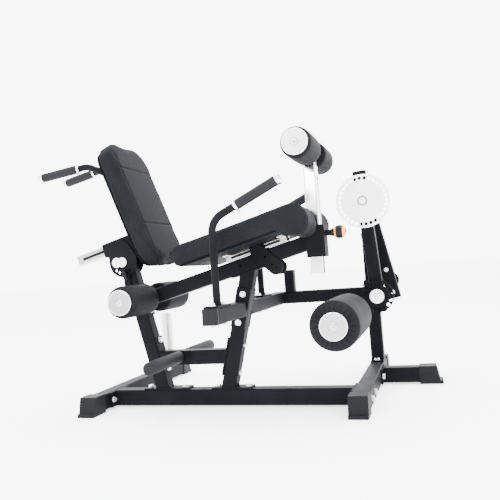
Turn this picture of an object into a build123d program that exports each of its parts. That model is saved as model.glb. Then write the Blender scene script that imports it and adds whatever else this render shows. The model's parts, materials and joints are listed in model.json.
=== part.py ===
from build123d import *
import math
import os

# Leg extension machine.  Millimetres, +Z up, +X towards the user's feet, +Y to the loaded side.
# While it is built, x = 0 is the rear face of the rear floor tube and y = 0 is the seat's centre.
# The last step moves everything so that the centre of the footprint is at x = y = 0.

# ---- driving dimensions ----
BASE = 60             # square floor tubes
TUBE = 54             # square frame tubes
HALF = TUBE / 2
WALL = 3
CORNER = 6
PLATE = 6             # flange plates
FLOOR_GAP = 6         # floor tubes stand this high on their rubber feet
BASE_TOP = FLOOR_GAP + BASE
FIT = 0.05            # radial running clearance
SOFT_GAP = 0.4        # soft pads to their neighbours

REAR_TUBE_X = 0
FRONT_TUBE_X = 996
NEAR_END = -167       # floor tubes, inside their caps
FAR_END = 684
CAP_LENGTH = 63

REAR_LEAN = 13.8      # rear upright leans back
SEAT_LEAN = -14.2     # seat upright leans forward
RAIL_LEAN = 14.4      # seat rail and both slides climb towards the front
BACK_LEAN = 20.3      # back pad
LEG_LEAN = 4.0        # leg arm at rest
WEIGHT_LEAN = 11.6    # weight arm at rest

RECLINE = (136, 564)  # recline pivot, x and z
PIVOT = (1026, 750)   # main pivot
HUB = (1054, 348)     # ankle adjuster
ANKLE = (973, 299)    # ankle roller axis
SHAFT_R = 15
HORN_R = 25           # weight horn, for plates with a 50 mm bore
INDEX_HOLE_R = 7.5

BAR_X = 604           # cross bar that carries the side handles
BAR_Z = 358
HANDLE_Y = 258
GRIP_START = (697, 714)
GRIP_RUN, GRIP_RISE = 138, 64
CROSS_Y = 537         # front upright and crossbar, on the loaded side
POST_X = 898          # thigh roller post
POST = 45
PIN_Z = 609           # height of the post's pull pin
ROLLER_AXLE_R = 12.5
BOLT_R = 5

SEAT_HALF = 210
BACK_HALF = 150
SLIDE = 40            # back slide tube

parts = {}
frame_fasteners = []
arm_fasteners = []


# ---- helpers ----
def tilted(x, z, lean):
    """Frame at (x, 0, z) whose Z axis leans towards -X by lean degrees; its Y axis stays +Y."""
    c, s = math.cos(math.radians(lean)), math.sin(math.radians(lean))
    return Plane(origin=(x, 0, z), x_dir=(c, 0, s), z_dir=(-s, 0, c))


WORLD = tilted(0, 0, 0)
REAR = tilted(267.5, 68, REAR_LEAN)
SEAT = tilted(534, 72, SEAT_LEAN)
RAIL = tilted(275.3, 427.2, RAIL_LEAN)
SLIDER = tilted(0, 601, RAIL_LEAN)
BACK = tilted(254, 564, BACK_LEAN)
LEG = tilted(*PIVOT, LEG_LEAN)
WEIGHT = tilted(*PIVOT, WEIGHT_LEAN)


def block(x0, x1, y0, y1, z0, z1):
    return Pos((x0 + x1) / 2, (y0 + y1) / 2, (z0 + z1) / 2) * Box(x1 - x0, y1 - y0, z1 - z0)


def soft_block(x0, x1, y0, y1, z0, z1, radius):
    solid = block(x0, x1, y0, y1, z0, z1)
    return fillet(solid.edges(), radius)


def box_tube(width, depth, length, wall=WALL, corner=CORNER):
    """Rounded box section along +Z."""
    outline = RectangleRounded(width, depth, corner)
    bore = RectangleRounded(width - 2 * wall, depth - 2 * wall, max(corner - wall, 0.5))
    return extrude(outline - bore, length)


def closed_tube(length):
    """Frame tube with welded end plates."""
    bore = RectangleRounded(TUBE - 2 * WALL, TUBE - 2 * WALL, CORNER - WALL)
    outside = extrude(RectangleRounded(TUBE, TUBE, CORNER), length)
    return outside - Pos(0, 0, WALL) * extrude(bore, length - 2 * WALL)


def tube_x(x0, x1, y, z, width=TUBE, height=TUBE, wall=WALL):
    return Pos(x0, y, z) * Rot(0, 90, 0) * box_tube(height, width, x1 - x0, wall)


def tube_y(x, y0, y1, z, width=TUBE, wall=WALL):
    return Pos(x, y0, z) * Rot(-90, 0, 0) * box_tube(width, width, y1 - y0, wall)


def tube_z(x, y, z0, z1, width=TUBE, wall=WALL):
    return Pos(x, y, z0) * box_tube(width, width, z1 - z0, wall)


def rod(radius, length, bore=0):
    solid = extrude(Circle(radius), length)
    return solid - extrude(Circle(bore), length) if bore else solid


def rod_x(y, z, x0, x1, radius, bore=0):
    return Pos(x0, y, z) * Rot(0, 90, 0) * rod(radius, x1 - x0, bore)


def rod_y(x, z, y0, y1, radius, bore=0):
    return Pos(x, y0, z) * Rot(-90, 0, 0) * rod(radius, y1 - y0, bore)


def rod_z(x, y, z0, z1, radius, bore=0):
    return Pos(x, y, z0) * rod(radius, z1 - z0, bore)


def plate(frame, outline, y0, y1):
    """Outline drawn in the frame's X and Z, extruded from y0 to y1."""
    face = Plane(origin=frame.origin + frame.y_dir * y1, x_dir=frame.x_dir, z_dir=-frame.y_dir)
    return extrude(face * outline, y1 - y0)


def polygon(points):
    return make_face(Polyline(*points, close=True))


def link(p, q, p_radius, q_radius):
    """Outline of a flat link: two round ends joined by their common tangents."""
    length = math.dist(p, q)
    heading = math.atan2(q[1] - p[1], q[0] - p[0])
    swing = math.acos((p_radius - q_radius) / length)

    def rim(centre, radius, angle):
        return (centre[0] + radius * math.cos(angle), centre[1] + radius * math.sin(angle))

    web = polygon([rim(p, p_radius, heading + swing), rim(q, q_radius, heading + swing),
                   rim(q, q_radius, heading - swing), rim(p, p_radius, heading - swing)])
    return web + Pos(*p) * Circle(p_radius) + Pos(*q) * Circle(q_radius)


def drill(names, cutter):
    for name in names:
        item = parts[name]
        parts[name] = [piece - cutter for piece in item] if isinstance(item, list) else item - cutter


def through_bolt(store, point, axis, grip, drilled, nut=True, radius=BOLT_R):
    """Flanged hex bolt: its head bears on point, its shank runs along axis for the grip."""
    place = Plane(origin=point, z_dir=axis)
    head, flange, nut_height = 1.3 * radius, 2, 1.6 * radius
    reach = grip + (nut_height + 2 if nut else 0)
    bolt = Pos(0, 0, -flange - head) * extrude(RegularPolygon(2 * radius, 6), head)
    bolt += Pos(0, 0, -flange) * rod(2.2 * radius, flange) + rod(radius, reach)
    store.append(place * bolt)
    if nut:
        ring = extrude(RegularPolygon(2 * radius, 6) - Circle(radius + FIT), nut_height)
        store.append(place * Pos(0, 0, grip) * ring)
    drill(drilled, place * Pos(0, 0, -1) * rod(radius + FIT, grip + 2))


# ---- floor frame ----
def foot_cap():
    """Rubber sleeve foot that points along +X; x = 0 is its open end."""
    profile = polygon([(0, 0), (89, 0), (89, 13), (78, 14.5), (66, 70), (0, 70)])
    solid = plate(WORLD, profile, -33, 33)
    solid = fillet(solid.edges().filter_by(Axis.Y), 2)
    return solid - block(-1, CAP_LENGTH - 4, -BASE / 2, BASE / 2, FLOOR_GAP, BASE_TOP)


def floor_frame():
    for name, x in (("rear_base_tube", REAR_TUBE_X), ("front_base_tube", FRONT_TUBE_X)):
        far = FAR_END if x == REAR_TUBE_X else FAR_END - 25
        parts[name] = tube_y(x + BASE / 2, NEAR_END + 4, far, FLOOR_GAP + BASE / 2, BASE)
    middle = FLOOR_GAP + BASE / 2
    rail_end = REAR_TUBE_X + BASE
    parts["base_rail"] = (tube_x(rail_end + PLATE, FRONT_TUBE_X - PLATE, 0, middle, BASE, BASE)
                          + block(rail_end, rail_end + PLATE, -66, 66, FLOOR_GAP + 1, BASE_TOP - 1)
                          + block(FRONT_TUBE_X - PLATE, FRONT_TUBE_X, -66, 66, FLOOR_GAP + 1, BASE_TOP - 1))
    face = FRONT_TUBE_X + BASE
    parts["front_foot_tube"] = (tube_x(face + PLATE, 1260, 368, middle, BASE, BASE)
                                + block(face, face + PLATE, 300, 436, FLOOR_GAP + 1, BASE_TOP - 1))
    near, far = NEAR_END + CAP_LENGTH, FAR_END - CAP_LENGTH + 4
    places = [(REAR_TUBE_X + 30, near, -90), (REAR_TUBE_X + 30, far, 90),
              (FRONT_TUBE_X + 30, near, -90), (FRONT_TUBE_X + 30, far - 25, 90), (1201, 368, 0)]
    parts["foot_caps"] = [Pos(x, y, 0) * Rot(0, 0, turn) * foot_cap() for x, y, turn in places]


def uprights():
    below = block(-900, 900, -900, 900, -900, BASE_TOP + PLATE)
    base_z = (BASE_TOP, BASE_TOP + PLATE)
    rear = REAR * Pos(0, 0, -20) * box_tube(TUBE, TUBE, 549) - below
    parts["rear_upright"] = rear + block(191, 373, -30, 30, *base_z)
    under_rail = RAIL * block(-900, 900, -900, 900, -HALF - 5, 900)
    seat = SEAT * Pos(0, 0, -20) * box_tube(TUBE, TUBE, 500) - below - under_rail
    top_flange = RAIL * block(305, 450, -HALF, HALF, -HALF - 5, -HALF)
    parts["seat_upright"] = seat + block(470, 622, -30, 30, *base_z) + top_flange
    front = tube_z(PIVOT[0], CROSS_Y, BASE_TOP + PLATE, 794)
    parts["front_upright"] = (front + block(999, 1053, 478, 596, *base_z)
                              + rod_y(*PIVOT, 506, 568, 25, 18)
                              - rod_y(*PIVOT, 500, 574, 18))


def lower_crossbar():
    bar = tube_x(240, 570, 0, 185)
    bar -= REAR * block(-300, HALF + PLATE, -99, 99, -99, 700)
    bar -= SEAT * block(-HALF - PLATE, 300, -99, 99, -99, 700)
    bar += REAR * block(HALF, HALF + PLATE, -HALF, HALF, 53, 198)
    bar += SEAT * block(-HALF - PLATE, -HALF, -HALF, HALF, 40, 180)
    parts["lower_crossbar"] = bar - rod_y(349, 190, -99, 99, ROLLER_AXLE_R + FIT)
    tube = rod_y(349, 190, -284, 284, ROLLER_AXLE_R, 10)
    for side in (-1, 1):
        inner, outer = sorted((side * (HALF + 0.1), side * 33))
        tube += rod_y(349, 190, inner, outer, 20, ROLLER_AXLE_R)
    parts["peg_tube"] = tube
    foams = []
    for side in (-1, 1):
        low, high = sorted((side * (33 + SOFT_GAP), side * 286))
        foams.append(rod_y(349, 190, low, high, 22.5, ROLLER_AXLE_R + SOFT_GAP))
    parts["peg_foams"] = foams


def seat_rail():
    rail = RAIL * tube_x(-90, 640, 0, 0)
    rail -= REAR * block(-300, HALF + PLATE, -99, 99, -99, 900)
    rail -= block(868, 1200, -99, 99, 300, 900)
    rail += REAR * block(HALF, HALF + PLATE, -HALF, HALF, 285, 412)
    sleeve = block(868, 935, -32, 32, 526, 638) + rod_x(0, PIN_Z, 935, 953.5, 11)
    sleeve -= block(POST_X - 26.5, POST_X + 26.5, -26.5, 26.5, 500, 700)
    parts["seat_rail"] = rail + sleeve - rod_x(0, PIN_Z, 921, 960, BOLT_R + FIT)
    liner = Pos(POST_X, 0, 526) * box_tube(53, 53, 114, 4 - FIT, CORNER + 4)
    parts["post_liner"] = liner - rod_x(0, PIN_Z, 915, 930, BOLT_R + FIT)
    ear = link((431, 26), (479, -46.8), 27, 27)
    sleeve_body = block(405, 460, -HALF, HALF, HALF, 53)
    sleeve_body -= block(400, 470, -20 - FIT, 20 + FIT, 30 - FIT, 50 + FIT)
    parts["seat_slide_sleeve"] = (RAIL * sleeve_body + plate(RAIL, ear, -32, -HALF)
                                  + plate(RAIL, ear, HALF, 32))


def handle_bars():
    flange = SEAT * block(-HALF, HALF, -33, -HALF, 226, 372)
    parts["handle_bar_near"] = tube_y(BAR_X, -326, -33, BAR_Z) + flange
    flange = SEAT * block(-HALF, HALF, HALF, 33, 226, 372)
    parts["handle_bar_far"] = tube_y(BAR_X, 33, CROSS_Y + HALF, BAR_Z) + flange
    parts["front_crossbar"] = (tube_x(BAR_X + HALF, 993, CROSS_Y, BAR_Z)
                               + block(993, 999, CROSS_Y - HALF, CROSS_Y + HALF, 304, 412)
                               + tube_z(660.5, CROSS_Y - 5, 384, 479, POST, 2.5))


def side_handles():
    rise = GRIP_RISE / GRIP_RUN
    corner_z = GRIP_START[1] - (GRIP_START[0] - BAR_X) * rise
    end_x = GRIP_START[0] + GRIP_RUN
    route = FilletPolyline((BAR_X, 0, 391), (BAR_X, 0, corner_z),
                           (end_x, 0, GRIP_START[1] + GRIP_RISE), radius=69)
    stem = sweep(Plane(origin=route @ 0, z_dir=route % 0) * (Circle(13) - Circle(10.5)), path=route)
    foot = block(BAR_X - HALF + 2, BAR_X + HALF - 2, -62, 62, 385, 391)
    grip_frame = Plane(origin=(GRIP_START[0], 0, GRIP_START[1]), z_dir=(GRIP_RUN, 0, GRIP_RISE))
    grip = grip_frame * (rod(17, math.hypot(GRIP_RUN, GRIP_RISE), 13 + FIT))
    places = [Pos(0, side * HANDLE_Y, 0) for side in (-1, 1)]
    parts["side_handles"] = [place * (stem + foot) for place in places]
    parts["side_grips"] = [place * grip for place in places]


def plate_storage():
    post = rod_z(32, 530, BASE_TOP + PLATE, 315, 25, 22) + rod_z(32, 530, BASE_TOP, BASE_TOP + PLATE, 29)
    parts["plate_storage_post"] = post + rod_z(32, 530, 315, 319, 25)


def rear_rollers():
    x, z = 235, 417
    drill(["seat_rail", "rear_upright"], rod_y(x, z, -99, 99, ROLLER_AXLE_R + FIT))
    axle = rod_y(x, z, -238, 238, ROLLER_AXLE_R)
    for side in (-1, 1):
        low, high = sorted((side * (HALF + 0.3), side * 44))
        axle += rod_y(x, z, low, high, 22)
    parts["rear_axle"] = axle
    roller("rear_roller_near", x, z, -44.4, -240, 57, 45)
    roller("rear_roller_far", x, z, 44.4, 240, 57, 45)


def roller(name, x, z, inner, outer, radius, cap_radius):
    """Foam roller on a hollow core; the core's outer end carries a chrome cap."""
    side = 1 if outer > inner else -1
    low, high = sorted((inner, outer))
    core_low, core_high = sorted((inner, outer + side * 2))
    foam = rod_y(x, z, low, high, radius)
    foam = fillet(foam.edges(), 9) - rod_y(x, z, low - 1, high + 1, 20 + SOFT_GAP)
    cap_low, cap_high = sorted((outer + side * 0.4, outer + side * 7))
    core = rod_y(x, z, core_low, core_high, 20) + rod_y(x, z, cap_low, cap_high, cap_radius)
    bore_low, bore_high = sorted((inner - side, outer))
    parts[name + "_foam"] = foam
    parts[name + "_core"] = core - rod_y(x, z, bore_low, bore_high, ROLLER_AXLE_R + FIT)


# ---- back support ----
def back_support():
    x, z = RECLINE
    housing = SLIDER * Pos(52, 0, 0) * Rot(0, 90, 0) * box_tube(TUBE, TUBE, 124, 7 - FIT, CORNER)
    outline = link((x, z), (x - 12, z + 40), 58, 50) - Pos(x, z) * Circle(8 + FIT)
    for step in range(4):
        angle = math.radians(-70 - 21.5 * step)
        outline -= Pos(x + 43 * math.cos(angle), z + 43 * math.sin(angle)) * Circle(5.5)
    cheeks = plate(WORLD, outline, -32.5, -HALF - 0.5) + plate(WORLD, outline, HALF + 0.5, 32.5)
    cheeks -= SLIDER * block(-300, 300, -99, 99, HALF - 8, 99)
    parts["recline_bracket"] = cheeks + housing + side_lugs()
    frame_fasteners.append(rod_y(x, z, -38, 38, 8) + rod_y(x, z, -38, -33, 19) + rod_y(x, z, 33, 38, 19))
    drill(["rear_upright"], rod_y(x, z, -60, 60, 8 + FIT))
    pin_x = x + 43 * math.cos(math.radians(70))
    pin_z = z - 43 * math.sin(math.radians(70))
    left, right = pin_x - 14, pin_x + 14
    strap = (block(left, right, -31, -HALF, 452, 502) + block(left, right, -37.5, -HALF, 496, 502)
             + block(left, right, -37.5, -33.5, 496, pin_z + 14) + rod_y(pin_x, pin_z, -48, -33.5, 9))
    parts["rear_upright"] = parts["rear_upright"] + strap - rod_y(pin_x, pin_z, -60, -30, BOLT_R + FIT)
    pin = rod_y(pin_x, pin_z, -56, -33, BOLT_R) + rod_y(pin_x, pin_z, -60, -50, 8)
    lever = plate(WORLD, link((pin_x, pin_z), (pin_x + 9, pin_z - 26), 8, 6), -60, -54)
    parts["recline_pin"] = pin + lever


def side_lugs():
    """Strips that join the cheeks to the housing's flanks."""
    lug = SLIDER * block(70, 155, HALF - 0.5, 32.5, -HALF, 10)
    return lug + SLIDER * block(70, 155, -32.5, -HALF + 0.5, -HALF, 10)


def back_carriage():
    tube = SLIDER * Pos(-74, 0, 0) * Rot(0, 90, 0) * box_tube(SLIDE, SLIDE, 330, 2.5, 4)
    tube -= BACK * block(-PLATE, 400, -99, 99, -400, 900)
    slot = SLIDER * (block(-50, 120, -30, -15, -5.5, 5.5))
    parts["back_slide_tube"] = tube - slot + BACK * block(-PLATE, 0, -50, 50, 20, 180)
    parts["back_board"] = plate_x(BACK, 0, 12, 130, -25, 455, 70)
    pad = plate_x(BACK, 12 + SOFT_GAP, 76, BACK_HALF, -38, 470, 92)
    parts["back_pad"] = fillet(pad.edges(), 12)


def plate_x(frame, x0, x1, half, z0, z1, corner):
    """Rounded panel across the frame's X axis."""
    face = Plane(origin=frame.from_local_coords((x0, 0, (z0 + z1) / 2)), x_dir=(0, 1, 0),
                 z_dir=frame.x_dir)
    return extrude(face * RectangleRounded(2 * half, z1 - z0, corner), x1 - x0)


def rear_handles():
    tubes, grips = [], []
    for side in (-1, 1):
        tail, knee, root = (-165, side * 83, 924), (20, side * 52, 952), (150, side * 50, 892)
        route = FilletPolyline(tail, knee, root, radius=60)
        start = Plane(origin=route @ 0, z_dir=route % 0)
        tube = sweep(start * (Circle(12.5) - Circle(10)), path=route)
        tubes.append(tube - BACK * block(0, 400, -200, 200, -200, 900))
        grips.append(start * rod(17, 146, 12.5 + FIT))
    parts["rear_handles"] = tubes
    parts["rear_grips"] = grips


# ---- seat ----
def seat():
    rear, front = 305, 547
    tube = RAIL * Pos(rear, 0, 40) * Rot(0, 90, 0) * box_tube(20, 40, front - rear, 2.5, 3)
    tube -= RAIL * block(rear + 20, front - 24, -30, -16, 35.5, 44.5)
    for s in (rear + 3, front - 25):
        tube += RAIL * block(s, s + 22, -60, 60, 49.5, 53.5)
    parts["seat_slide_tube"] = tube
    board_front = 825
    bottom, top = 53.5 + 12 + SOFT_GAP, 122
    panel = RAIL * block(196, 700, -200, 200, 53.5, 65.5)
    parts["seat_board"] = panel - block(board_front, 1200, -300, 300, 300, 900)
    wide = RAIL * soft_block(186, 900, -SEAT_HALF, SEAT_HALF, bottom, top, 14)
    wide -= block(827, 1300, -300, 300, 300, 1100)
    tongue = RAIL * block(500, 900, -44, 44, bottom, top)
    tongue -= block(862, 1300, -300, 300, 300, 1100)
    nose = polygon([(827.4, 693), (880, 707), (902, 700), (922, 672), (927, 645), (922, 618), (903, 602),
                    (878, 599), (850, 606), (827.4, 617)])
    nose = fillet(nose.vertices(), 3)
    noses = [plate(WORLD, nose, -SEAT_HALF, -45), plate(WORLD, nose, 45, SEAT_HALF)]
    parts["seat_pad"] = [wide + tongue] + noses


# ---- thigh rollers ----
def thigh_support():
    post = tube_z(POST_X, 0, 468, 920, POST, 2.5)
    for step in range(9):
        post -= rod_x(0, PIN_Z + 20 * (step - 4), 912, 930, BOLT_R + 0.4)
    post += block(POST_X - 22, POST_X + 22, -22, 22, 917, 920)
    post += rod_y(POST_X, 900, -221, 214, ROLLER_AXLE_R)
    for side in (-1, 1):
        low, high = sorted((side * 20, side * 37))
        post += rod_y(POST_X, 900, low, high, 20)
    parts["thigh_post"] = post
    roller("thigh_roller_near", POST_X, 900, -37.4, -223, 52, 44)
    roller("thigh_roller_far", POST_X, 900, 37.4, 216, 52, 44)
    knob = Pos(985, 0, PIN_Z) * Sphere(24) + rod_x(0, PIN_Z, 956, 985, 14)
    parts["post_pin"] = knob + rod_x(0, PIN_Z, 921, 985, BOLT_R)


# ---- working arms ----
def index_disc(x, z, radius, hole_circle, count, y0, y1, bore):
    holes = PolarLocations(hole_circle, count, start_angle=90 + LEG_LEAN) * Circle(INDEX_HOLE_R)
    outline = Pos(x, z) * (Circle(radius) - Circle(bore) - holes)
    return plate(WORLD, outline, y0, y1)


def weight_side():
    x, z = PIVOT
    parts["index_disc"] = index_disc(x, z, 113, 97, 30, 425, 433, SHAFT_R + FIT)
    parts["pivot_shaft"] = rod_y(x, z, 418, 644, SHAFT_R) + rod_y(x, z, 412, 424.9, 21)
    arm = WEIGHT * Pos(0, 611, -434) * closed_tube(497)
    arm -= rod_y(x, z, 500, 700, SHAFT_R + FIT)
    horn = WEIGHT.from_local_coords((0, 0, -354))
    horn_x, horn_z = horn.X, horn.Z
    parts["weight_arm"] = arm
    base = WEIGHT * block(-HALF, HALF, 638, 644, -430, -280)
    parts["weight_horn"] = (base + rod_y(horn_x, horn_z, 644, 656, 24)
                            + rod_y(horn_x, horn_z, 656, 848, HORN_R, HORN_R - WALL)
                            + rod_y(horn_x, horn_z, 844, 850, HORN_R))
    parts["horn_bumper"] = rod_y(horn_x, horn_z, 644.3, 655.6, 37, 24 + FIT)
    parts["pivot_bushes"] = [rod_y(x, z, y0, y0 + 29, 18, SHAFT_R + FIT) for y0 in (507, 538)]
    arm_fasteners.append(extrude(Plane(origin=(x, 644, z), z_dir=(0, 1, 0)) * RegularPolygon(22, 6), 8))
    parts["arm_stop"] = WEIGHT * block(-HALF - 30, -HALF - 0.4, 588, 630, -170, -130)
    parts["front_upright"] += WEIGHT * block(-HALF - 36, -HALF - 30, 563, 634, -178, -122)


def leg_side():
    arm = LEG * Pos(0, 463, -470) * closed_tube(600) + rod_y(*PIVOT, 435, 491, 25)
    arm -= rod_y(*PIVOT, 400, 520, 18)
    pin_at = LEG.from_local_coords((0, 0, 97))
    ankle_at = LEG.from_local_coords((0, 0, -346))
    for point in (pin_at, ankle_at):
        arm -= rod_y(point.X, point.Z, 400, 520, BOLT_R + FIT)
    arm -= rod_y(*HUB, 400, 520, 10 + FIT)
    parts["leg_arm"] = arm
    parts["leg_arm_bushes"] = [rod_y(*PIVOT, 435.5, 462, 18, SHAFT_R + FIT),
                               rod_y(*PIVOT, 464, 490.5, 18, SHAFT_R + FIT)]
    pin = rod_y(pin_at.X, pin_at.Z, 433.5, 512, BOLT_R) + rod_y(pin_at.X, pin_at.Z, 496, 530, 15)
    parts["index_pin"] = pin
    crank = plate(WORLD, link(HUB, ANKLE, 34, 26), 418, 428)
    crank -= rod_y(*HUB, 410, 430, 10 + FIT)
    parts["ankle_crank"] = crank + rod_y(*ANKLE, -200, 428, SHAFT_R) + rod_y(*ANKLE, 167, 182, 30)
    parts["ankle_disc"] = index_disc(*HUB, 68, 57, 16, 428.1, 434, 10 + FIT)
    parts["ankle_hub_bolt"] = (rod_y(*HUB, 411, 500, 10) + rod_y(*HUB, 411, 417.8, 29)
                               + rod_y(*HUB, 490.2, 498, 20))
    pin = rod_y(ankle_at.X, ankle_at.Z, 434.5, 494, BOLT_R)
    handle = link((ankle_at.X, ankle_at.Z), (ankle_at.X - 50, ankle_at.Z + 4), 9, 7)
    parts["ankle_pin"] = pin + plate(WORLD, handle, 491, 497)
    low, high = -203, 165
    foam = fillet(rod_y(*ANKLE, low, high, 82.5).edges(), 14)
    parts["ankle_foam"] = foam - rod_y(*ANKLE, low - 1, high + 1, 24 + SOFT_GAP)
    core = rod_y(*ANKLE, low - 0.4, high, 24) + rod_y(*ANKLE, low - 8, low - 0.4, 46)
    parts["ankle_core"] = core - rod_y(*ANKLE, low + 2, high + 1, SHAFT_R + FIT)


def end_caps():
    """Plastic plugs over the open ends of the fixed tubes."""
    caps = [block(BAR_X - HALF, BAR_X + HALF, -330, -326.1, BAR_Z - HALF, BAR_Z + HALF),
            block(BAR_X - HALF, BAR_X + HALF, CROSS_Y + HALF + 0.1, CROSS_Y + HALF + 4,
                  BAR_Z - HALF, BAR_Z + HALF),
            block(638, 683, CROSS_Y - 27.5, CROSS_Y + 17.5, 479.1, 483),
            block(999, 1053, CROSS_Y - HALF, CROSS_Y + HALF, 794.1, 798)]
    parts["frame_end_caps"] = caps


def fasteners():
    for x in (206, 352, 487, 606):
        owner = "rear_upright" if x < 400 else "seat_upright"
        through_bolt(frame_fasteners, (x, 0, BASE_TOP + PLATE), (0, 0, -1), 9,
                     [owner, "base_rail"], nut=False)
    for y in (-50, 50):
        z = FLOOR_GAP + BASE / 2
        through_bolt(frame_fasteners, (66, y, z), (-1, 0, 0), 66, ["base_rail", "rear_base_tube"])
        through_bolt(frame_fasteners, (990, y, z), (1, 0, 0), 66, ["base_rail", "front_base_tube"])
    for y in (318, 418):
        through_bolt(frame_fasteners, (1062, y, 36), (-1, 0, 0), 66, ["front_foot_tube", "front_base_tube"])
    for y in (494, 580):
        through_bolt(frame_fasteners, (1026, y, 72), (0, 0, -1), 9,
                     ["front_upright", "front_base_tube"], nut=False)
    for level in (70, 182):
        start = REAR.from_local_coords((HALF + PLATE, 0, level))
        through_bolt(frame_fasteners, start, -REAR.x_dir, 60, ["lower_crossbar", "rear_upright"])
    for level in (58, 162):
        start = SEAT.from_local_coords((-HALF - PLATE, 0, level))
        through_bolt(frame_fasteners, start, SEAT.x_dir, 60, ["lower_crossbar", "seat_upright"])
    for level in (302, 396):
        start = REAR.from_local_coords((HALF + PLATE, 0, level))
        through_bolt(frame_fasteners, start, -REAR.x_dir, 60, ["seat_rail", "rear_upright"])
    for level in (245, 350):
        start = SEAT.from_local_coords((0, -33, level))
        through_bolt(frame_fasteners, start, (0, 1, 0), 66,
                     ["handle_bar_near", "seat_upright", "handle_bar_far"])
    for side, bar in ((-1, "handle_bar_near"), (1, "handle_bar_far")):
        for offset in (-47, 47):
            point = (BAR_X, side * HANDLE_Y + offset, 391)
            through_bolt(frame_fasteners, point, (0, 0, -1), 60, ["side_handles", bar])
    for z in (318, 398):
        through_bolt(frame_fasteners, (993, CROSS_Y, z), (1, 0, 0), 60, ["front_crossbar", "front_upright"])
    for x, z in ((751, 501), (736, 511), (713, 541), (615, 515)):
        drill(["seat_slide_sleeve", "seat_rail"], rod_y(x, z, -60, 60, 4.5))
    for distance in (304, 405):
        point = WEIGHT.from_local_coords((0, 644, -distance))
        through_bolt(arm_fasteners, point, (0, -1, 0), 60, ["weight_horn", "weight_arm"])
    parts["frame_bolts"] = frame_fasteners
    parts["arm_bolts"] = arm_fasteners


def main():
    floor_frame()
    uprights()
    lower_crossbar()
    seat_rail()
    handle_bars()
    side_handles()
    plate_storage()
    rear_rollers()
    back_support()
    back_carriage()
    rear_handles()
    seat()
    thigh_support()
    weight_side()
    leg_side()
    end_caps()
    fasteners()

    groups = {name: item if isinstance(item, list) else [item] for name, item in parts.items()}
    solids = [solid for item in groups.values() for piece in item for solid in piece.solids()]
    whole = Compound(children=solids)
    box = whole.bounding_box()
    shift = Pos(-box.center().X, -box.center().Y, 0)
    print("shift", -box.center().X, -box.center().Y, "size", box.size, "low z", box.min.Z)
    os.makedirs("parts", exist_ok=True)
    for name, item in groups.items():
        solids = [shift * solid for piece in item for solid in piece.solids()]
        export_step(solids[0] if len(solids) == 1 else Compound(children=solids), f"parts/{name}.step")


main()
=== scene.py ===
import bpy
import bmesh
import json
import math
from mathutils import Matrix, Vector


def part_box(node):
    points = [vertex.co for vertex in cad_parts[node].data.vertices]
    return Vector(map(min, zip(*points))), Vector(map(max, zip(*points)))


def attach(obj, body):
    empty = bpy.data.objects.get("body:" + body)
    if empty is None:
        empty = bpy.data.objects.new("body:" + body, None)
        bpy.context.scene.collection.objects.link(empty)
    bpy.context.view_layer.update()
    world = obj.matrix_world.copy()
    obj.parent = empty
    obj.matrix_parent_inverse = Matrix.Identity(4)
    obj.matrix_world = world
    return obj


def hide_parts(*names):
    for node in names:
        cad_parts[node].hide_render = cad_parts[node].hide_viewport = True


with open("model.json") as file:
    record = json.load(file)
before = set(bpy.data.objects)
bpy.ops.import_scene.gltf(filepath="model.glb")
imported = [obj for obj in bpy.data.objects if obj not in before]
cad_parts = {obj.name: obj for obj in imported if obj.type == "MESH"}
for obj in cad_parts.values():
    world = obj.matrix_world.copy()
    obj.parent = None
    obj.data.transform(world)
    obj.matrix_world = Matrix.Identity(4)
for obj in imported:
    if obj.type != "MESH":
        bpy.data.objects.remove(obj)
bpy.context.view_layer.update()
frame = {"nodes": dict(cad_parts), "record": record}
NODES = frame["nodes"]

RAIL_LEAN = 14.4            # degrees the seat rail and both slides climb
BACK_LEAN = 20.3            # degrees the back pad leans from upright
CLOTH_FRAMES = 20
VOXEL = 0.005               # remesh size of the cushions
FLOOR_HALF = 40
CAMERA_PLACE = (0.74157, -2.3266, 0.5051)
CAMERA_TURN = (17.53, 1.744, -4.312)      # yaw, pitch and roll in degrees
CAMERA_LENS = 42.26
STUDIO_FRONT = 2.6          # strength of the studio's dome in front of the machine
STUDIO_BACK = 9.0           # and behind it
FLOOR_GLOW = 1.6            # lifts the floor to the backdrop's brightness
MM = 0.001
MIDLINE_Y = (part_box("back_board")[0].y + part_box("back_board")[1].y) / 2


def leaning(origin, lean):
    """Matrix of a frame whose Z axis leans towards -X by lean degrees."""
    c, s = math.cos(math.radians(lean)), math.sin(math.radians(lean))
    return Matrix(((c, 0, -s, origin[0]), (0, 1, 0, origin[1]), (s, 0, c, origin[2]), (0, 0, 0, 1)))


def mesh_object(name, vertices, faces, smooth=True):
    mesh = bpy.data.meshes.new(name)
    mesh.from_pydata(vertices, [], faces)
    bm = bmesh.new()
    bm.from_mesh(mesh)
    bmesh.ops.recalc_face_normals(bm, faces=bm.faces)
    bm.to_mesh(mesh)
    bm.free()
    if smooth:
        mesh.polygons.foreach_set("use_smooth", [True] * len(mesh.polygons))
    piece = bpy.data.objects.new(name, mesh)
    bpy.context.scene.collection.objects.link(piece)
    return piece


def apply_modifiers(piece):
    graph = bpy.context.evaluated_depsgraph_get()
    final = bpy.data.meshes.new_from_object(piece.evaluated_get(graph))
    piece.modifiers.clear()
    piece.data = final
    final.polygons.foreach_set("use_smooth", [True] * len(final.polygons))


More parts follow.
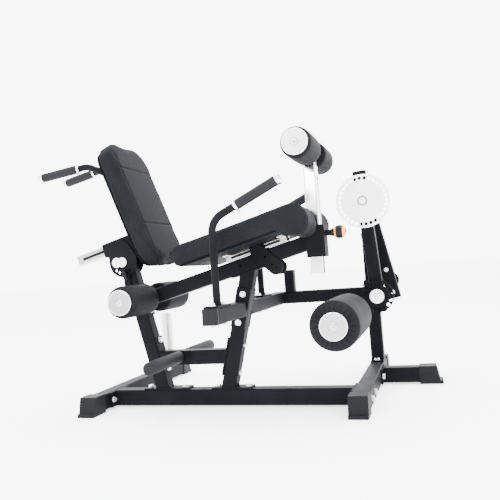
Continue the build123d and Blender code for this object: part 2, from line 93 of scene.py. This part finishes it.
# ---- materials ----
def node_material(name, color, roughness, metallic=0.0, grain=400.0, bump=0.1, vary=0.25,
                  weave=False, smudge=0.12, specular=0.5):
    """Principled material with procedural colour, roughness and bump."""
    material = bpy.data.materials.new(name)
    material.use_nodes = True
    tree = material.node_tree
    shader = tree.nodes["Principled BSDF"]
    shader.inputs["Metallic"].default_value = metallic
    shader.inputs["Specular IOR Level"].default_value = specular
    place = tree.nodes.new("ShaderNodeTexCoord")
    fine = tree.nodes.new("ShaderNodeTexVoronoi" if weave else "ShaderNodeTexNoise")
    fine.inputs["Scale"].default_value = grain
    broad = tree.nodes.new("ShaderNodeTexNoise")
    broad.inputs["Scale"].default_value = 9.0
    broad.inputs["Detail"].default_value = 5.0
    tree.links.new(place.outputs["Object"], fine.inputs["Vector"])
    tree.links.new(place.outputs["Object"], broad.inputs["Vector"])
    ramp = tree.nodes.new("ShaderNodeValToRGB")
    ramp.color_ramp.elements[0].position = 0.3
    ramp.color_ramp.elements[1].position = 0.7
    for element, factor in zip(ramp.color_ramp.elements, (1 - vary, 1 + vary)):
        element.color = [min(1.0, channel * factor) for channel in color] + [1.0]
    tree.links.new(broad.outputs["Fac"], ramp.inputs["Fac"])
    tree.links.new(ramp.outputs["Color"], shader.inputs["Base Color"])
    rough = tree.nodes.new("ShaderNodeMapRange")
    rough.inputs["To Min"].default_value = max(0.02, roughness - smudge)
    rough.inputs["To Max"].default_value = min(1.0, roughness + smudge)
    tree.links.new(broad.outputs["Fac"], rough.inputs["Value"])
    tree.links.new(rough.outputs["Result"], shader.inputs["Roughness"])
    relief = tree.nodes.new("ShaderNodeBump")
    relief.inputs["Strength"].default_value = bump
    relief.inputs["Distance"].default_value = 0.0006
    tree.links.new(fine.outputs["Distance" if weave else "Fac"], relief.inputs["Height"])
    tree.links.new(relief.outputs["Normal"], shader.inputs["Normal"])
    return material


def make_materials():
    return {
        "frame_steel": node_material("powder_coat", (0.0042, 0.0044, 0.0054), 0.52, grain=900, bump=0.16,
                                     specular=0.025),
        "chrome": node_material("polished_chrome", (0.80, 0.80, 0.81), 0.14, 1.0, grain=60, bump=0.02,
                                vary=0.04, smudge=0.05),
        "slide_chrome": node_material("slide_chrome", (0.50, 0.49, 0.465), 0.24, 1.0, grain=300, bump=0.04,
                                      vary=0.10, smudge=0.08),
        "roller_core": node_material("cap_chrome", (0.34, 0.34, 0.34), 0.30, 1.0, grain=500, bump=0.05,
                                     vary=0.14, smudge=0.08),
        "disc_steel": node_material("plated_disc", (0.97, 0.97, 0.975), 0.34, 0.05, grain=500, bump=0.06,
                                    vary=0.02, smudge=0.06),
        "foot_rubber": node_material("moulded_rubber", (0.0048, 0.005, 0.0058), 0.6, grain=700, bump=0.2,
                                     specular=0.08),
        "roller_foam": node_material("roller_vinyl", (0.0072, 0.0074, 0.0080), 0.62, grain=900, bump=0.25,
                                     weave=True, specular=0.015),
        "grip_foam": node_material("grip_foam", (0.0085, 0.0088, 0.0100), 0.68, grain=1300, bump=0.35,
                                   weave=True, specular=0.08),
        "upholstery": node_material("grained_vinyl", (0.0060, 0.0066, 0.0076), 0.62, grain=1100, bump=0.3,
                                    weave=True, specular=0.018),
        "black_plastic": node_material("black_plastic", (0.0034, 0.0034, 0.004), 0.4, grain=800, bump=0.08,
                                       specular=0.1),
        "board_black": node_material("board_black", (0.0035, 0.0036, 0.0042), 0.8, grain=300, bump=0.05,
                                     specular=0.0),
        "bronze": node_material("bush_bronze", (0.45, 0.30, 0.14), 0.4, 1.0, grain=300, bump=0.1),
        "fastener_steel": node_material("black_zinc", (0.05, 0.05, 0.055), 0.36, 0.9, grain=500, bump=0.1),
        "bright_zinc": node_material("bright_zinc", (0.72, 0.72, 0.73), 0.3, 0.8, grain=400, bump=0.05,
                                     vary=0.08),
        "orange": node_material("orange_ring", (0.86, 0.24, 0.02), 0.4, grain=500, bump=0.05, vary=0.08),
    }


def paint(piece, material):
    piece.data.materials.clear()
    piece.data.materials.append(material)
    for polygon in piece.data.polygons:
        polygon.material_index = 0


def paint_frame(materials):
    """Every CAD node takes its slot's finish, except those listed with one of their own."""
    own = {"arm_bolts": "bright_zinc", "ankle_hub_bolt": "disc_steel", "pivot_shaft": "disc_steel",
              "seat_slide_tube": "slide_chrome", "back_slide_tube": "slide_chrome",
              "plate_storage_post": "slide_chrome", "frame_bolts": "bright_zinc",
              "seat_board": "board_black", "back_board": "board_black"}
    for entry in frame["record"]["subparts"]:
        node = entry["node"]
        paint(NODES[node], materials[own.get(node, entry["material_slot"])])


# ---- soft pieces ----
def inflate(piece, pressure, cap):
    """Cloth pressure swells the closed mesh; no point moves further than cap."""
    start = [vertex.co.copy() for vertex in piece.data.vertices]
    cloth = piece.modifiers.new("cloth", "CLOTH")
    cloth.settings.use_pressure = True
    cloth.settings.uniform_pressure_force = pressure
    cloth.settings.effector_weights.gravity = 0
    cloth.settings.tension_stiffness = 30
    cloth.settings.bending_stiffness = 4
    scene = bpy.context.scene
    for step in range(1, CLOTH_FRAMES + 1):
        scene.frame_set(step)
    apply_modifiers(piece)
    scene.frame_set(1)
    for vertex, home in zip(piece.data.vertices, start):
        travel = vertex.co - home
        if travel.length > cap:
            vertex.co = home + travel * (cap / travel.length)


def remesh(piece, size, smoothing):
    voxels = piece.modifiers.new("remesh", "REMESH")
    voxels.mode = "VOXEL"
    voxels.voxel_size = size
    smooth = piece.modifiers.new("smooth", "SMOOTH")
    smooth.factor = 0.5
    smooth.iterations = smoothing
    apply_modifiers(piece)


def refine(piece):
    piece.modifiers.new("refine", "SUBSURF").levels = 1
    apply_modifiers(piece)


def groove(distance, width, depth):
    return depth * math.exp(-(distance / width) ** 2)


def rounded_outline(half_x, half_y, corner, count):
    """Points of a rounded rectangle, evenly turned at its corners."""
    points = []
    for quarter, (sx, sy) in enumerate(((1, 1), (-1, 1), (-1, -1), (1, -1))):
        for step in range(count):
            angle = math.radians(90 * quarter + 90 * step / (count - 1))
            points.append((sx * (half_x - corner) + corner * math.cos(angle),
                           sy * (half_y - corner) + corner * math.sin(angle)))
    return points


def loft(name, rings):
    """Closed mesh through rings of equal length, with flat ends."""
    count = len(rings[0])
    vertices = [point for ring in rings for point in ring]
    faces = []
    for level in range(len(rings) - 1):
        for step in range(count):
            following = (step + 1) % count
            faces.append((level * count + step, level * count + following,
                          (level + 1) * count + following, (level + 1) * count + step))
    faces.append(tuple(range(count)))
    faces.append(tuple(range((len(rings) - 1) * count, len(rings) * count)))
    return mesh_object(name, vertices, faces)


def back_cushion(materials):
    """Padded back with two sewn cross channels, side creases and double piping."""
    frame_at = leaning(rear_corner(), BACK_LEAN)
    half_width, low, high, thick = 0.148, -0.037, 0.469, 0.076
    middle, half_height = (low + high) / 2, (high - low) / 2
    rings = []
    for depth, inset in ((0.013, 0.004), (0.016, 0.0), (0.058, 0.0), (0.066, 0.004), (0.0725, 0.012)):
        outline = rounded_outline(half_width - inset, half_height - inset, 0.088 - inset, 14)
        rings.append([frame_at @ Vector((depth, across, middle + up)) for across, up in outline])
    piece = loft("back_cushion", rings)
    remesh(piece, VOXEL, 3)
    inflate(piece, 3.5, 0.006)
    refine(piece)
    into = frame_at.inverted()
    for vertex in piece.data.vertices:
        at = into @ vertex.co
        face = min(1.0, max(0.0, (at.x - 0.05) / 0.02))
        crown = 0.004 * (1 - (at.y / half_width) ** 2) * (1 - ((at.z - middle) / half_height) ** 2)
        sink = groove(at.z - (low + 0.385), 0.0032, 0.0035) + groove(at.z - (low + 0.155), 0.0032, 0.0035)
        sink *= 1.0 if abs(at.y) < half_width - 0.028 else 0.0
        sink += groove(abs(at.y) - (half_width - 0.027), 0.004, 0.0026) * (low + 0.05 < at.z < high - 0.06)
        at.x += face * (crown - sink)
        outward = Vector((0, at.y / half_width, (at.z - middle) / half_height))
        at -= outward.normalized() * (groove(at.x - 0.026, 0.0018, 0.0022)
                                      + groove(at.x - 0.034, 0.0018, 0.0014)) * (outward.length > 0.5)
        vertex.co = frame_at @ at
    finish_soft(piece, "back_pad", "backrest", "upholstery", materials)


def rear_corner():
    """Point where the back board's rear face meets the recline frame's origin, from the board's box."""
    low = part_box("back_board")[0]
    lean = math.radians(BACK_LEAN)
    span = 0.48
    x = low.x + span * math.sin(lean) - 0.025 * math.sin(lean)
    z = low.z + 0.025 * math.cos(lean)
    return (x, MIDLINE_Y, z)


def seat_profile(inset, rows):
    """Side view of the seat in the world's X and Z, from the rear edge round the waterfall nose."""
    centre_x = sum(x for x, z in rows) / len(rows)
    centre_z = sum(z for x, z in rows) / len(rows)
    shrunk = []
    for x, z in rows:
        away = Vector((x - centre_x, 0, z - centre_z))
        shrunk.append((x - inset * away.x / away.length, z - inset * away.z / away.length))
    return shrunk


def finish_soft(piece, node, body, slot_name, materials):
    paint(piece, materials[slot_name])
    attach(piece, body)
    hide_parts(node)


def seat_cushion(materials):
    """Seat with a waterfall nose, split at the front around the roller post."""
    x0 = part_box("seat_pad")[0].x - 0.4366     # moves the outline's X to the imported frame
    outline = [(0.4366, 0.540), (0.441, 0.531), (0.452, 0.5295), (0.64, 0.5778), (0.815, 0.6225),
               (0.832, 0.6155), (0.850, 0.606), (0.878, 0.5995), (0.903, 0.603), (0.921, 0.619),
               (0.9265, 0.645), (0.921, 0.672), (0.903, 0.698), (0.880, 0.7065), (0.86, 0.7035),
               (0.64, 0.6475), (0.45, 0.5985), (0.436, 0.592),
               (0.4325, 0.584)]
    tongue = [(x if x < 0.86 else 0.8605, z) for x, z in outline if not (x > 0.82 and z < 0.68)]
    tongue.insert(5, (0.8605, 0.6405))
    pieces = []
    for name, rows, stations in (
            ("seat_near", outline,
             ((-209, 13), (-208, 7), (-204, 2.5), (-198, 0), (-60, 0), (-50, 1.5), (-46, 7))),
            ("seat_middle", tongue, ((-70, 0), (70, 0))),
            ("seat_far", outline,
             ((46, 7), (50, 1.5), (60, 0), (198, 0), (204, 2.5), (208, 7), (209, 13)))):
        rings = []
        for y, inset in stations:
            points = seat_profile(inset * MM * 0.7, rows)
            rings.append([Vector((x0 + x, MIDLINE_Y + y * MM, z)) for x, z in points])
        pieces.append(loft(name, rings))
    mesh = bpy.data.meshes.new("seat_cushion")
    joined = bmesh.new()
    for part in pieces:
        joined.from_mesh(part.data)
        bpy.data.objects.remove(part)
    joined.to_mesh(mesh)
    joined.free()
    piece = bpy.data.objects.new("seat_cushion", mesh)
    bpy.context.scene.collection.objects.link(piece)
    remesh(piece, VOXEL, 5)
    inflate(piece, 3.0, 0.004)
    refine(piece)
    slope = math.tan(math.radians(RAIL_LEAN))
    normals = [vertex.normal.copy() for vertex in piece.data.vertices]
    for vertex, normal in zip(piece.data.vertices, normals):
        at = vertex.co.copy()
        x, y = at.x - x0, abs(at.y - MIDLINE_Y)
        base = 0.5185 + 0.006 + slope * (x - 0.441)
        above = at.z - base
        if y > 0.196:
            sign = 1 if at.y > MIDLINE_Y else -1
            piping = groove(above - 0.024, 0.002, 0.0022) + groove(above - 0.032, 0.002, 0.0014)
            at.y -= sign * piping * (x < 0.80)
        seam = groove(y - 0.1985, 0.0026, 0.0024)
        if above > 0.04 or x > 0.83:
            at -= normal * seam
        vertex.co = at
    finish_soft(piece, "seat_pad", "seat", "upholstery", materials)


def revolve(name, centre, profile, steps=160, pleat=None):
    """Solid of revolution about a Y axis; profile holds (y, radius) pairs and may be pleated."""
    rings = []
    for index, (y, radius) in enumerate(profile):
        ring = []
        for step in range(steps):
            angle = 2 * math.pi * step / steps
            shift = pleat(index, angle) if pleat else 0.0
            ring.append(Vector((centre.x + radius * math.cos(angle), centre.y + y + shift,
                                centre.z + radius * math.sin(angle))))
        rings.append(ring)
    return loft(name, rings)


def foam_roller(name, foam, core, body, materials):
    """Vinyl sleeve over foam, gathered in pleats round each end."""
    low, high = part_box(foam)
    centre = (low + high) / 2
    radius, half = (high.x - low.x) / 2, (high.y - low.y) / 2
    cap_low, cap_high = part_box(core)
    cap_radius = (cap_high.x - cap_low.x) / 2
    hole = cap_radius * 0.55
    edge = min(0.016, radius * 0.22)
    pleats = 22

    def half_profile():
        points = [(half - 0.0035, hole), (half - 0.0015, cap_radius * 0.86),
                  (half - 0.0005, cap_radius * 1.05)]
        ring = radius - edge
        for step in range(1, 4):
            r = cap_radius * 1.05 + (ring - cap_radius * 1.05) * step / 4
            points.append((half - 0.0005, r))
        for step in range(0, 7):
            angle = math.radians(90 * step / 6)
            points.append((half - edge + edge * math.cos(angle), ring + edge * math.sin(angle)))
        points.append((half - edge - 0.004, radius + 0.0004))
        points.append((half * 0.5, radius + 0.0008))
        return points

    side = half_profile()
    profile = [(-y, r) for y, r in side] + [(0.0, radius + 0.001)] + [(y, r) for y, r in reversed(side)]
    deep = {2: 0.5, 3: 1.0, 4: 1.0, 5: 1.0, 6: 1.0, 7: 0.8, 8: 0.5}
    total = len(profile)

    def pleat(index, angle):
        rank = min(index, total - 1 - index)
        wave = abs(math.sin(pleats * angle / 2 + 0.35 * math.sin(3 * angle)))
        amount = deep.get(rank, 0.0) * 0.0048 * (1 - wave) ** 1.3
        return amount if index < total / 2 else -amount

    piece = revolve(name, centre, profile, 220, pleat)
    paint(piece, materials["roller_foam"])
    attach(piece, body)
    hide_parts(foam)
    cap_detail(name + "_cap_ring", core, body, centre, materials)


def cap_detail(name, core, body, centre, materials):
    """Domed screw and turned rim on the chrome end cap of a roller."""
    low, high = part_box(core)
    outer = low.y if centre.y - low.y > high.y - centre.y else high.y
    sign = -1 if outer < centre.y else 1
    radius = (high.x - low.x) / 2
    spot = Vector((centre.x, outer, centre.z))
    profile = [(-sign * 0.0005, radius * 0.30), (sign * 0.0022, radius * 0.30),
               (sign * 0.0034, radius * 0.26), (sign * 0.0040, radius * 0.16),
               (sign * 0.0036, radius * 0.11), (sign * 0.0012, radius * 0.10)]
    screw = revolve(name, spot, profile, 48)
    paint(screw, materials["slide_chrome"])
    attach(screw, body)
    rim_profile = [(-sign * 0.0005, radius * 0.99), (sign * 0.0016, radius * 0.985),
                   (sign * 0.0016, radius * 0.93), (-sign * 0.0005, radius * 0.92)]
    rim = revolve(name + "_rim", spot, rim_profile, 96)
    bm = bmesh.new()
    bm.from_mesh(rim.data)
    ends = [face for face in bm.faces if len(face.verts) > 4]
    bmesh.ops.delete(bm, geom=ends, context="FACES_ONLY")
    edges = [edge for edge in bm.edges if edge.is_boundary]
    bmesh.ops.bridge_loops(bm, edges=edges)
    bm.to_mesh(rim.data)
    bm.free()
    paint(rim, materials["chrome"])
    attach(rim, body)


def peg_sleeves(materials):
    low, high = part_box("peg_foams")
    gap = 0.0334
    for name, y0, y1 in (("peg_sleeve_near", low.y, MIDLINE_Y - gap),
                         ("peg_sleeve_far", MIDLINE_Y + gap, high.y)):
        radius = (high.x - low.x) / 2
        centre = Vector(((low.x + high.x) / 2, (y0 + y1) / 2, (low.z + high.z) / 2))
        half = (y1 - y0) / 2
        side = [(half - 0.001, 0.0131), (half, radius - 0.006), (half - 0.0018, radius - 0.002),
                (half - 0.006, radius), (half * 0.5, radius + 0.0004)]
        profile = [(-y, r) for y, r in side] + [(y, r) for y, r in reversed(side)]
        piece = revolve(name, centre, profile, 72)
        paint(piece, materials["grip_foam"])
        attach(piece, "frame")
        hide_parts("peg_foams")


# ---- hard details ----
def collar(name, centre, heading, profile, body, material, steps=48):
    """Turned ring about an axis in any direction; profile holds (along, radius) pairs."""
    turn = heading.to_track_quat("Z", "Y").to_matrix()
    rings = []
    for along, radius in profile:
        ring = []
        for step in range(steps):
            angle = 2 * math.pi * step / steps
            ring.append(centre + turn @ Vector((radius * math.cos(angle), radius * math.sin(angle), along)))
        rings.append(ring)
    piece = loft(name, rings)
    paint(piece, material)
    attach(piece, body)
    return piece


def handle_rings(materials):
    """Chrome ring before and chrome plug after every foam grip."""
    chrome = materials["chrome"]
    grips = (("side", "side_grips", Vector((138, 0, 64)), 0.1521, 0.258, "frame", 0.0),
             ("rear", "rear_grips", Vector((-185, 31, -28)), 0.146, 0.0711, "backrest", 1.0))
    for label, node, heading, length, offset, body, flip in grips:
        low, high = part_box(node)
        for side, tag in ((-1, "near"), (1, "far")):
            run = Vector((heading.x, side * heading.y * flip, heading.z)).normalized()
            middle = Vector(((low.x + high.x) / 2, MIDLINE_Y + side * offset, (low.z + high.z) / 2))
            start, end = middle - run * length / 2, middle + run * length / 2
            collar(f"{label}_ring_{tag}", start, run,
                   [(-0.0095, 0.0133), (-0.0095, 0.0168), (-0.008, 0.0180), (-0.002, 0.0180),
                    (-0.0003, 0.0172), (-0.0003, 0.0133)], body, chrome)
            collar(f"{label}_plug_{tag}", end, run,
                   [(0.0003, 0.0172), (0.002, 0.0180), (0.012, 0.0180), (0.0150, 0.0170), (0.0165, 0.0145)],
                   body, chrome)


def knob_rings(materials):
    low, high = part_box("post_pin")
    centre = Vector((high.x - 0.024, MIDLINE_Y, (low.z + high.z) / 2))
    for tag, along, reach in (("inner", -0.015, 0.0032), ("outer", 0.0165, 0.0050)):
        profile = []
        for step in range(7):
            place = along + reach * (step / 6 - 0.5) * 2
            profile.append((place, math.sqrt(max(0.0, 0.0249 ** 2 - place ** 2))))
        collar("knob_ring_" + tag, centre, Vector((1, 0, 0)), profile, "post_lock", materials["orange"])
    neck = Vector((low.x + 0.0335, centre.y, centre.z))
    collar("knob_neck", neck, Vector((1, 0, 0)),
           [(0, 0.0052), (0, 0.0095), (0.003, 0.0105), (0.006, 0.0095)],
           "post_lock", materials["chrome"])


def hub_ring(materials):
    """Turned ring round the shaft head on the index disc."""
    low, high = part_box("index_disc")
    centre = Vector(((low.x + high.x) / 2, low.y - 0.0127, (low.z + high.z) / 2))
    collar("index_hub_ring", centre, Vector((0, 1, 0)),
           [(0, 0.0150), (-0.0016, 0.0172), (0, 0.0207), (0.004, 0.0214), (0.004, 0.0150)],
           "lever", materials["fastener_steel"], 72)


def pivot_caps(materials):
    """Domed washers beside the recline pivot, one on each side of the bracket."""
    spot_x, spot_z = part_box("recline_bracket")[0].x + 0.0700, 0.564
    for tag, side in (("near", -1), ("far", 1)):
        start = Vector((spot_x, MIDLINE_Y + side * 0.0381, spot_z))
        collar("recline_cap_" + tag, start, Vector((0, side, 0)),
               [(0, 0.0195), (0.0025, 0.0195), (0.0045, 0.0175), (0.0055, 0.011), (0.0052, 0.0085),
                (0.0025, 0.008)],
               "frame", materials["disc_steel"])


def slot_shade_sheets(materials):
    """Dark sheets inside the two chrome slide tubes, seen through their slots: painted shade for the tubes'
    hollow insides.
    """
    along = Vector((math.cos(math.radians(RAIL_LEAN)), 0, math.sin(math.radians(RAIL_LEAN))))
    up = Vector((-along.z, 0, along.x))
    section = ((-1, -0.0068), (1, -0.0068), (1, 0.0068), (-1, 0.0068))
    for name, body, spot, half in (("seat_slot_shade_sheet", "seat", Vector((0.1154, 0, 0.5714)), 0.100),
                                   ("back_slot_shade_sheet", "backrest", Vector((-0.5267, 0, 0.6097)), 0.086)):
        rings = [[Vector((0, y, 0)) + spot + along * half * side + up * rise for side, rise in section]
                 for y in (MIDLINE_Y - 0.0174, MIDLINE_Y - 0.0150)]
        piece = loft(name, rings)
        for polygon in piece.data.polygons:
            polygon.use_smooth = False
        # black plastic here is painted shade filling the slot, not a part of the slide
        paint(piece, materials["black_plastic"])
        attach(piece, body)


# ---- stage ----
def stage_and_lights():
    reach = FLOOR_HALF
    floor = mesh_object("floor", [(-reach, -reach, 0), (reach, -reach, 0), (reach, reach, 0), (-reach, reach, 0)],
                        [(0, 1, 2, 3)], False)
    material = node_material("pale_floor", (0.88, 0.885, 0.89), 0.9, grain=4, bump=0.0, vary=0.01,
                             specular=0.05)
    shader = material.node_tree.nodes["Principled BSDF"]
    shader.inputs["Emission Color"].default_value = (0.94, 0.945, 0.96, 1)
    shader.inputs["Emission Strength"].default_value = FLOOR_GLOW
    paint(floor, material)
    world = bpy.data.worlds.new("studio")
    bpy.context.scene.world = world
    world.use_nodes = True
    tree = world.node_tree
    heading = tree.nodes.new("ShaderNodeTexCoord")
    split = tree.nodes.new("ShaderNodeSeparateXYZ")
    tree.links.new(heading.outputs["Generated"], split.inputs["Vector"])
    fade = tree.nodes.new("ShaderNodeMapRange")
    fade.interpolation_type = "SMOOTHSTEP"
    for socket, value in (("From Min", -0.9), ("From Max", 0.0),
                          ("To Min", STUDIO_FRONT), ("To Max", STUDIO_BACK)):
        fade.inputs[socket].default_value = value
    tree.links.new(split.outputs["Y"], fade.inputs["Value"])
    background = tree.nodes["Background"]
    background.inputs["Color"].default_value = (0.945, 0.945, 0.96, 1)
    tree.links.new(fade.outputs["Result"], background.inputs["Strength"])
    for name, place, size, power in (("key", (-0.6, -3.4, 1.9), 1.6, 130),
                                     ("fill", (3.2, -2.2, 2.2), 2.0, 30),
                                     ("top", (0.2, 0.4, 3.8), 3.0, 150)):
        light = bpy.data.lights.new(name, "AREA")
        light.size = size
        light.energy = power
        lamp = bpy.data.objects.new(name, light)
        bpy.context.scene.collection.objects.link(lamp)
        lamp.location = place
        aim = Vector((0, 0, 0.45)) - Vector(place)
        lamp.rotation_euler = aim.to_track_quat("-Z", "Y").to_euler()


def camera():
    """Low three-quarter view from the seat's unloaded side."""
    yaw, pitch, roll = (math.radians(angle) for angle in CAMERA_TURN)
    right = Vector((math.cos(yaw), math.sin(yaw), 0))
    ahead = Vector((-math.sin(yaw) * math.cos(pitch), math.cos(yaw) * math.cos(pitch), math.sin(pitch)))
    up = right.cross(ahead)
    tilted_right = math.cos(roll) * right + math.sin(roll) * up
    tilted_up = -math.sin(roll) * right + math.cos(roll) * up
    lens = bpy.data.cameras.new("camera")
    lens.sensor_width = 36
    lens.lens = CAMERA_LENS
    view = bpy.data.objects.new("camera", lens)
    bpy.context.scene.collection.objects.link(view)
    place = Matrix((tilted_right, tilted_up, -ahead)).transposed().to_4x4()
    place.translation = Vector(CAMERA_PLACE)
    view.matrix_world = place
    bpy.context.scene.camera = view


def build():
    camera()
    stage_and_lights()
    materials = make_materials()
    paint_frame(materials)
    back_cushion(materials)
    seat_cushion(materials)
    for label in ("rear_roller_near", "rear_roller_far", "thigh_roller_near", "thigh_roller_far"):
        foam_roller(label + "_sleeve", label + "_foam", label + "_core", label, materials)
    foam_roller("ankle_sleeve", "ankle_foam", "ankle_core", "ankle_roller", materials)
    peg_sleeves(materials)
    handle_rings(materials)
    knob_rings(materials)
    hub_ring(materials)
    pivot_caps(materials)
    # painted shade behind the slots of the slide tubes
    slot_shade_sheets(materials)


build()
